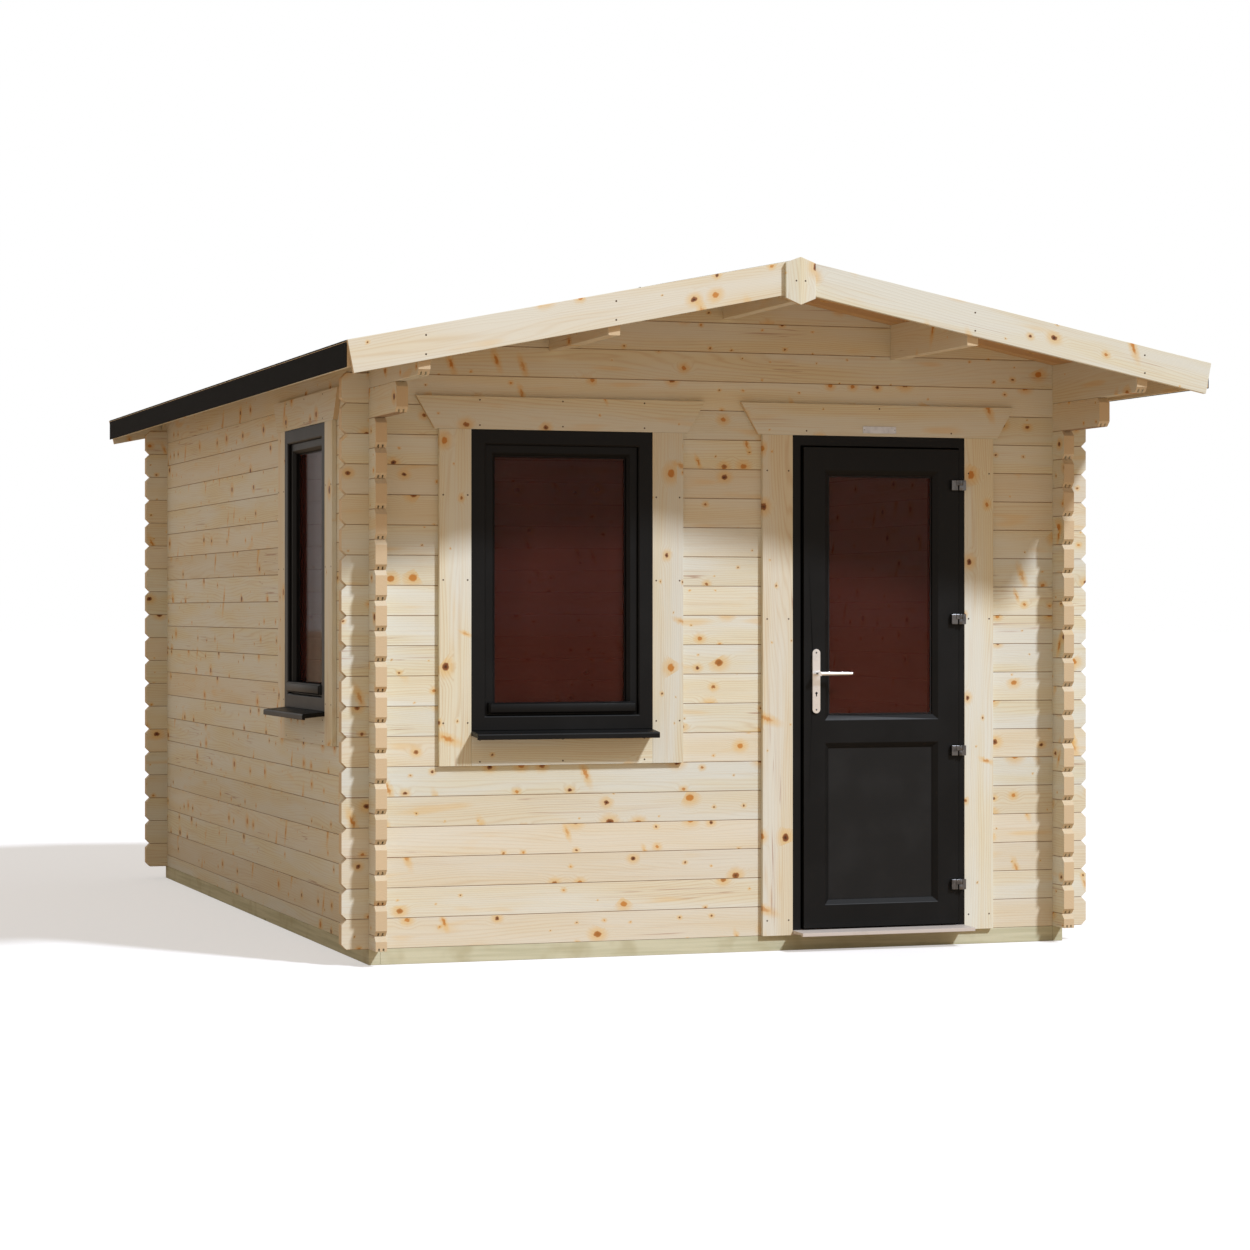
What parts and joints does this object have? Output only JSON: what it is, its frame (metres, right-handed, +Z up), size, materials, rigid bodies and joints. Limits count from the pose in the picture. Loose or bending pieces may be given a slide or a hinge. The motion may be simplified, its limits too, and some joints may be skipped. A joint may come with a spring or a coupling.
{
  "type": "log cabin",
  "caption": "Small gable-roofed cabin of interlocking milled logs with corner notches, a glazed outward-opening door, black framed windows and a felt roof.",
  "frame": {"origin": "centre of the bounding box on the ground plane under the bearers", "axes": "+X to the right along the door front seen from outside, +Y from the front to the back, +Z up"},
  "size_m": [3.406, 5.1136, 2.6328],
  "materials": {
    "pine_logs": "planed, unpainted",
    "planed_boards": "planed, unpainted",
    "roof_boards": "planed, unpainted",
    "floor_boards": "planed, unpainted",
    "treated_timber": "green pressure treated",
    "felt": "mineral felt",
    "black_frame": "satin",
    "pale_sill": "satin",
    "tinted_glass": "tinted",
    "chrome": "polished",
    "hinge_metal": "satin",
    "plate_metal": "brushed"
  },
  "bodies": {
    "cabin": {"bearers": "treated_timber", "joists": "treated_timber", "floor_deck": "floor_boards", "front_logs_under_window": "pine_logs", "front_logs_left": "pine_logs", "front_logs_middle": "pine_logs", "front_logs_right": "pine_logs", "front_gable_logs": "pine_logs", "left_logs_under_window": "pine_logs", "left_logs_front": "pine_logs", "left_logs_back": "pine_logs", "left_logs_over_window": "pine_logs", "right_logs": "pine_logs", "back_logs": "pine_logs", "back_gable_logs": "pine_logs", "corbel_logs": "pine_logs", "wall_plates": "pine_logs", "purlins": "pine_logs", "roof_left": "roof_boards", "roof_right": "roof_boards", "felt_left": "felt", "felt_right": "felt", "fascias": "planed_boards", "bargeboards_front": "planed_boards", "bargeboards_back": "planed_boards", "ridge_caps": "planed_boards", "front_window_frame": "black_frame", "front_window_bead": "black_frame", "front_window_glass": "tinted_glass", "front_window_sill": "black_frame", "front_window_trim": "planed_boards", "left_window_frame": "black_frame", "left_window_bead": "black_frame", "left_window_glass": "tinted_glass", "left_window_sill": "black_frame", "left_window_trim": "planed_boards", "door_frame": "black_frame", "door_sill": "pale_sill", "door_trim": "planed_boards", "door_plate": "plate_metal", "hinge_fixed": "hinge_metal"},
    "door": {"door_leaf": "black_frame", "door_glass": "tinted_glass", "door_panel": "black_frame", "hinge_moving": "hinge_metal", "handle_plates": "chrome"},
    "lever": {"lever": "chrome"}
  },
  "joints": [
    {"name": "door_hinge", "type": "hinge", "parent": "cabin", "child": "door", "pos_m": [0.9715, -1.83, 1.0364], "axis": [0, 0, 1], "range_deg": [0, 100]},
    {"name": "lever_turn", "type": "hinge", "parent": "door", "child": "lever", "pos_m": [0.355, -1.788, 1.0864], "axis": [0, 1, 0], "range_deg": [0, 40], "stiffness_Nm_per_rad": 1.5, "springref_deg": -17.19}
  ]
}
